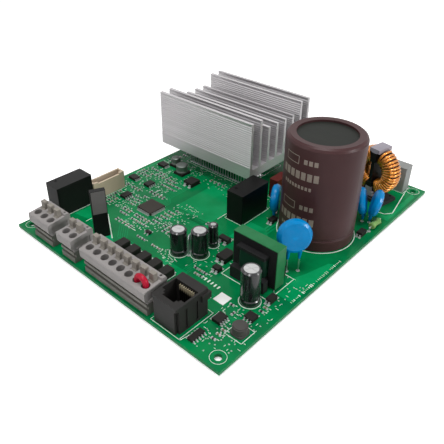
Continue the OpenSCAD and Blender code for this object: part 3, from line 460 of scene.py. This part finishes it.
can_metal, tree, shader, place = surface("drawn_aluminium_can", Metallic=0.35, Roughness=0.3)
swirl = add(tree, "TexNoise", {"Vector": place, "Scale": 1000 / 2.0, "Detail": 3.0})
tone = add(tree, "Mix", {0: swirl.outputs["Fac"], 6: srgb("#d0d0cf"), 7: srgb("#b5b6b6")}, data_type="RGBA")
tree.links.new(tone.outputs[2], shader.inputs["Base Color"])
aged_can, tree, shader, place = surface("brushed_can", Metallic=0.8, Roughness=0.4)
swirl = add(tree, "TexNoise", {"Vector": place, "Scale": 1000 / 2.0, "Detail": 3.0})
tone = add(tree, "Mix", {0: swirl.outputs["Fac"], 6: srgb("#7f8781"), 7: srgb("#666d68")}, data_type="RGBA")
tree.links.new(tone.outputs[2], shader.inputs["Base Color"])
paint("smd_cans", aged_can)
paint("smd_can_bases", epoxy)
paint("smd_inductor", moulded("pressed_ferrite", "#3f3d3b", "#504e4c", 0.6, 0.3, 0.06))

# ---- Bulk capacitor ----
# A snap-in aluminium can in a shrunk vinyl sleeve of a brown maroon, rolled over the can's end, which is
# painted dark and matt as a painted reflection of the dim room. The sleeve's print is replaced by plain bars.

sleeve, tree, shader, place = surface("shrunk_vinyl_sleeve", Roughness=0.38, Specular_IOR_Level=0.15, Coat_Weight=0.04, Coat_Roughness=0.2)
flow = add(tree, "TexNoise", {"Vector": place, "Scale": 1000 / 22, "Detail": 3.0})
tone = add(tree, "Mix", {0: flow.outputs["Fac"], 6: srgb("#3a2526"), 7: srgb("#4a3031")}, data_type="RGBA")
crease = add(tree, "Mapping", {"Vector": place, "Scale": (500.0, 500.0, 60.0)})
creases = add(tree, "TexNoise", {"Vector": crease.outputs[0], "Scale": 1.0, "Detail": 2.0})
shrunk = add(tree, "Bump", {"Strength": 0.2, "Distance": 0.0001, "Height": creases.outputs["Fac"]})
tree.links.new(tone.outputs[2], shader.inputs["Base Color"])
tree.links.new(shrunk.outputs[0], shader.inputs["Normal"])
paint("bulk_sleeve", sleeve)
# the can's metal end is painted a dark matt tone: a painted reflection of the dim room its top would mirror
dark_end_painted_reflection = moulded("dark_end_phenolic_painted_reflection", "#191b18", "#222420", 0.55, 0.6)
paint("bulk_can", dark_end_painted_reflection)
paint("bulk_deck", dark_end_painted_reflection)

sleeve_ink, tree, shader, place = surface("sleeve_ink", Roughness=0.5)
wear = add(tree, "TexNoise", {"Vector": place, "Scale": 1000 / 1.0, "Detail": 2.0})
tone = add(tree, "Mix", {0: wear.outputs["Fac"], 6: srgb("#93867b"), 7: srgb("#786b63")}, data_type="RGBA")
tree.links.new(tone.outputs[2], shader.inputs["Base Color"])
bars = bmesh.new()
for low, high, count, start, wide, gap in [(42.4, 44.6, 3, -88, 5.4, 2.2), (35, 38.6, 7, -128, 7, 2.4), (30.4, 32, 9, -122, 3.6, 2),
                                           (20.4, 22.6, 3, -88, 5.4, 2.2), (13, 16.6, 7, -128, 7, 2.4), (8.6, 10.2, 9, -122, 3.6, 2)]:
    for i in range(count):
        band(bars, (42, 11.7), 17.45, 17.53, low + board_top, high + board_top, steps=4, sweep=math.radians(wide),
             start=math.radians(start + i * (wide + gap)))
for middle in (43.5, 21.5):
    for low, high in ((middle - 1.9, middle - 1.6), (middle + 1.6, middle + 1.9)):
        band(bars, (42, 11.7), 17.45, 17.53, low + board_top, high + board_top, steps=10, sweep=math.radians(26),
             start=math.radians(-122))
    for edge in (-122, -97):
        band(bars, (42, 11.7), 17.45, 17.53, middle - 1.9 + board_top, middle + 1.9 + board_top, steps=2,
             sweep=math.radians(1), start=math.radians(edge))
piece("sleeve_bars", bars, sleeve_ink)

# ---- Radial capacitors ----
# Aluminium cans in glossy black vinyl sleeves, crimped over a rubber bung, with pressure vents
# scored in their bright tops.

gloss_sleeve, tree, shader, place = surface("black_vinyl_sleeve", Roughness=0.2, Coat_Weight=0.5, Coat_Roughness=0.08)
flow = add(tree, "TexNoise", {"Vector": place, "Scale": 1000 / 5, "Detail": 2.0})
tone = add(tree, "Mix", {0: flow.outputs["Fac"], 6: srgb("#121214"), 7: srgb("#1e1e21")}, data_type="RGBA")
tree.links.new(tone.outputs[2], shader.inputs["Base Color"])
paint("radial_sleeves", gloss_sleeve)
paint("radial_cans", can_metal)
paint("radial_bungs", moulded("black_rubber", "#161616", "#202020", 0.7, 0.4))

# ---- Transformer ----
# A ferrite core held by pale green polyester tape round a glass-filled bobbin, with its winding
# under dark green tape.

tape, tree, shader, place = surface("green_polyester_tape", Roughness=0.3, Specular_IOR_Level=0.12, Coat_Weight=0.03, Coat_Roughness=0.15)
lap = add(tree, "TexNoise", {"Vector": place, "Scale": 1000 / 4, "Detail": 3.0})
tone = add(tree, "Mix", {0: lap.outputs["Fac"], 6: srgb("#1c6439"), 7: srgb("#2f794c")}, data_type="RGBA")
tree.links.new(tone.outputs[2], shader.inputs["Base Color"])
paint("transformer_tape", tape)
paint("transformer_core", moulded("ground_ferrite", "#161617", "#212122", 0.5, 0.3, 0.05))
paint("transformer_bobbin", moulded("bobbin_phenolic", "#1a1a1b", "#262627", 0.4, 0.4))
paint("transformer_winding", moulded("dark_green_tape", "#0e2c20", "#153b2b", 0.3, 1.5, 0.08))

# ---- Common-mode choke ----
# Enamelled copper wire wound in two halves on a ferrite ring, kept apart by a grey divider that
# clips into a base plate.

enamel, tree, shader, place = surface("enamelled_copper", Metallic=0.65, Roughness=0.25, Coat_Weight=0.8, Coat_Roughness=0.05)
varnish = add(tree, "TexNoise", {"Vector": place, "Scale": 1000 / 3, "Detail": 2.0})
tone = add(tree, "Mix", {0: varnish.outputs["Fac"], 6: srgb("#bd650f"), 7: srgb("#e59a30")}, data_type="RGBA")
tree.links.new(tone.outputs[2], shader.inputs["Base Color"])

wire_r, inner_r, outer_r, half_l, bend = 0.7, 5.3, 12.05, 3.75, 2.3
one = bmesh.new()
path_end = bmesh.ops.create_circle(one, segments=8, radius=wire_r, matrix=Matrix.Translation((outer_r, bend - half_l, 0))
                                   @ Matrix.Rotation(math.radians(90), 4, "X"))["verts"]
for run, corner in [((0, 2 * (half_l - bend), 0), (outer_r - bend, half_l - bend, 0)),
                    ((inner_r - outer_r + 2 * bend, 0, 0), (inner_r + bend, half_l - bend, 0)),
                    ((0, 2 * (bend - half_l), 0), (inner_r + bend, bend - half_l, 0)),
                    ((outer_r - inner_r - 2 * bend, 0, 0), (outer_r - bend, bend - half_l, 0))]:
    edges = [e for e in one.edges if all(v in path_end for v in e.verts)]
    grown = bmesh.ops.extrude_edge_only(one, edges=edges)["geom"]
    path_end = [v for v in grown if isinstance(v, bmesh.types.BMVert)]
    bmesh.ops.translate(one, vec=run, verts=path_end)
    edges = [e for e in one.edges if all(v in path_end for v in e.verts)]
    bent = bmesh.ops.spin(one, geom=path_end + edges, cent=corner, axis=(0, 0, 1), angle=math.radians(90), steps=3,
                          use_merge=False, use_duplicate=False)["geom_last"]
    path_end = [v for v in bent if isinstance(v, bmesh.types.BMVert)]
bmesh.ops.remove_doubles(one, verts=one.verts, dist=1e-3)
one_turn = bpy.data.meshes.new("one_turn")
one.to_mesh(one_turn)
one.free()

# each turn stands across the ring, whose axis is level and turned 11 degrees on the board
ring = Matrix.Translation((46.4, 58.4, board_top + 15.8)) @ Matrix.Rotation(math.radians(-11), 4, "Z")
turns = bmesh.new()
for half in (0, 180):
    for i in range(17):
        angle = math.radians(half - 68 + i * 136 / 16 + chance.uniform(-0.8, 0.8))
        made = len(turns.verts)
        turns.from_mesh(one_turn)
        bmesh.ops.transform(turns, matrix=ring @ Matrix.Rotation(-angle, 4, "Y"), verts=list(turns.verts)[made:])
bpy.data.meshes.remove(one_turn)
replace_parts(piece("wound_turns", turns, enamel, smooth=60), "choke_winding")
paint("choke_core", moulded("coated_ferrite", "#17181a", "#222326", 0.5, 0.5))
paint("choke_base", moulded("base_phenolic", "#29292b", "#363638", 0.5, 0.4))

# the middle of the divider, between the pale saddles, is painted near-black: painted shade where it stands in the dark
# of the ring's hole
nylon = moulded("divider_nylon_painted_shade", "#8d8892", "#a29da6", 0.42, 0.5)
tree = nylon.node_tree
shader = next(n for n in tree.nodes if n.bl_idname == "ShaderNodeBsdfPrincipled")
height = add(tree, "SeparateXYZ", {0: add(tree, "TexCoord").outputs["Object"]}).outputs["Z"]
over = add(tree, "Math", {0: height, 1: (board_top + 7.6) / 1000}, operation="GREATER_THAN")
under = add(tree, "Math", {0: height, 1: (board_top + 26.4) / 1000}, operation="LESS_THAN")
painted_shade_band = add(tree, "Math", {0: over.outputs[0], 1: under.outputs[0]}, operation="MULTIPLY")
tone = add(tree, "Mix", {0: painted_shade_band.outputs[0], 6: shader.inputs["Base Color"].links[0].from_socket, 7: srgb("#161516")}, data_type="RGBA")
tree.links.new(tone.outputs[2], shader.inputs["Base Color"])
paint("choke_divider", nylon)

# ---- Film, snubber and disc capacitors, axial part ----
# Potted film capacitors in plastic boxes, ceramic discs dipped in blue epoxy that runs down to
# the legs, and one dipped axial part.

paint("film_capacitor", moulded("grey_polyester_box", "#858785", "#949694", 0.45, 0.4))
paint("snubber_capacitor", moulded("dark_red_box", "#471410", "#571a14", 0.35, 0.4))
dipped, tree, shader, place = surface("dipped_blue_epoxy", Roughness=0.2, Specular_IOR_Level=0.12, Coat_Weight=0.12, Coat_Roughness=0.03)
runs = add(tree, "TexNoise", {"Vector": place, "Scale": 1000 / 5, "Detail": 2.0})
tone = add(tree, "Mix", {0: runs.outputs["Fac"], 6: srgb("#006faa"), 7: srgb("#008acb")}, data_type="RGBA")
uneven = add(tree, "Bump", {"Strength": 0.3, "Distance": 0.0004, "Height": runs.outputs["Fac"]})
tree.links.new(tone.outputs[2], shader.inputs["Base Color"])
tree.links.new(uneven.outputs[0], shader.inputs["Normal"])
paint("disc_capacitors", dipped)
paint("axial_body", moulded("pale_green_dip", "#6d9550", "#84aa64", 0.4, 0.6))
paint("blank_label", moulded("label_paper", "#e9e9e6", "#f4f4f2", 0.7, 0.3))

# ---- Camera, lights and floor ----
# The board lies on a white sweep. A broad lamp from the left lights the terminal side, a low sky
# fills the rest, and the camera looks down from the corner by the jack.

azimuth, elevation, roll = math.radians(42.77), math.radians(32.22), math.radians(0.18)
target = Vector((-0.01231, -0.00336, 0.0026))
back = Vector((math.sin(azimuth) * math.cos(elevation), -math.cos(azimuth) * math.cos(elevation), math.sin(elevation)))
right = (-back).cross(Vector((0, 0, 1))).normalized()
up = right.cross(-back)
right, up = (right * math.cos(roll) + up * math.sin(roll)), (up * math.cos(roll) - right * math.sin(roll))
eye = target + back * 0.2753
lens = bpy.data.cameras.new("camera")
lens.sensor_width = 36
lens.lens = 533.06 / 444 * 36
lens.shift_x = (222 - 209.87) / 444
lens.shift_y = (200.62 - 222) / 444
lens.clip_start = 0.01
camera = bpy.data.objects.new("camera", lens)
camera.matrix_world = Matrix((
    (right.x, up.x, back.x, eye.x), (right.y, up.y, back.y, eye.y), (right.z, up.z, back.z, eye.z), (0, 0, 0, 1)))
bpy.context.scene.collection.objects.link(camera)
bpy.context.scene.camera = camera


def lamp(name, place, aim, size, watts):
    """A square soft box."""
    light = bpy.data.lights.new(name, "AREA")
    light.shape, light.size, light.energy = "SQUARE", size, watts
    box = bpy.data.objects.new(name, light)
    box.matrix_world = Matrix.Translation(place) @ (Vector(aim) - Vector(place)).to_track_quat("-Z", "Y").to_matrix().to_4x4()
    bpy.context.scene.collection.objects.link(box)


lamp("soft_box_front", (-0.45, -0.95, 0.5), (0, 0, 0.01), 0.45, 1.2)
lamp("soft_box_corner", (0.14, -0.36, 0.4), (0.05, -0.07, 0), 0.12, 0.45)
lamp("soft_box_top", (0.02, -0.06, 0.95), (0, 0, 0), 0.4, 5.6)
lamp("soft_box_right", (0.95, 0.3, 0.4), (0, 0, 0.02), 0.3, 5.6)

# the room is bright in front of the terminals and dim behind the camera's right
world = bpy.data.worlds.new("studio")
bpy.context.scene.world = world
world.use_nodes = True
tree = world.node_tree
tree.nodes.clear()
toward = add(tree, "VectorMath", {0: add(tree, "TexCoord").outputs["Generated"], 1: (-0.5, -0.85, 0.1)}, operation="DOT_PRODUCT")
room = add(tree, "MapRange", {"Value": toward.outputs["Value"], "From Min": -0.3, "From Max": 1.0, "To Min": 0.07, "To Max": 0.36})
sky = add(tree, "Background", {"Color": srgb("#ffffff"), "Strength": room.outputs[0]})
white = add(tree, "Background", {"Color": srgb("#ffffff"), "Strength": 1.0})
path = add(tree, "LightPath")
seen = add(tree, "Math", {0: path.outputs["Is Camera Ray"], 1: path.outputs["Is Glossy Ray"]}, operation="MAXIMUM")
both = add(tree, "MixShader", {0: seen.outputs[0], 1: sky.outputs[0], 2: white.outputs[0]})
add(tree, "OutputWorld", {"Surface": both.outputs[0]})

bm = bmesh.new()
bmesh.ops.create_grid(bm, x_segments=1, y_segments=1, size=3)
mesh = bpy.data.meshes.new("floor")
bm.to_mesh(mesh)
bm.free()
floor = bpy.data.objects.new("floor", mesh)
paper, tree, shader, place = surface("white_paper_sweep", Roughness=0.9)
shader.inputs["Base Color"].default_value = srgb("#f4f4f4")
shader.inputs["Emission Color"].default_value = srgb("#ffffff")
tree.links.new(add(tree, "Math", {0: add(tree, "LightPath").outputs["Is Camera Ray"], 1: 0.5}, operation="MULTIPLY").outputs[0],
               shader.inputs["Emission Strength"])
mesh.materials.append(paper)
bpy.context.scene.collection.objects.link(floor)

bpy.context.scene.view_settings.view_transform = "Standard"
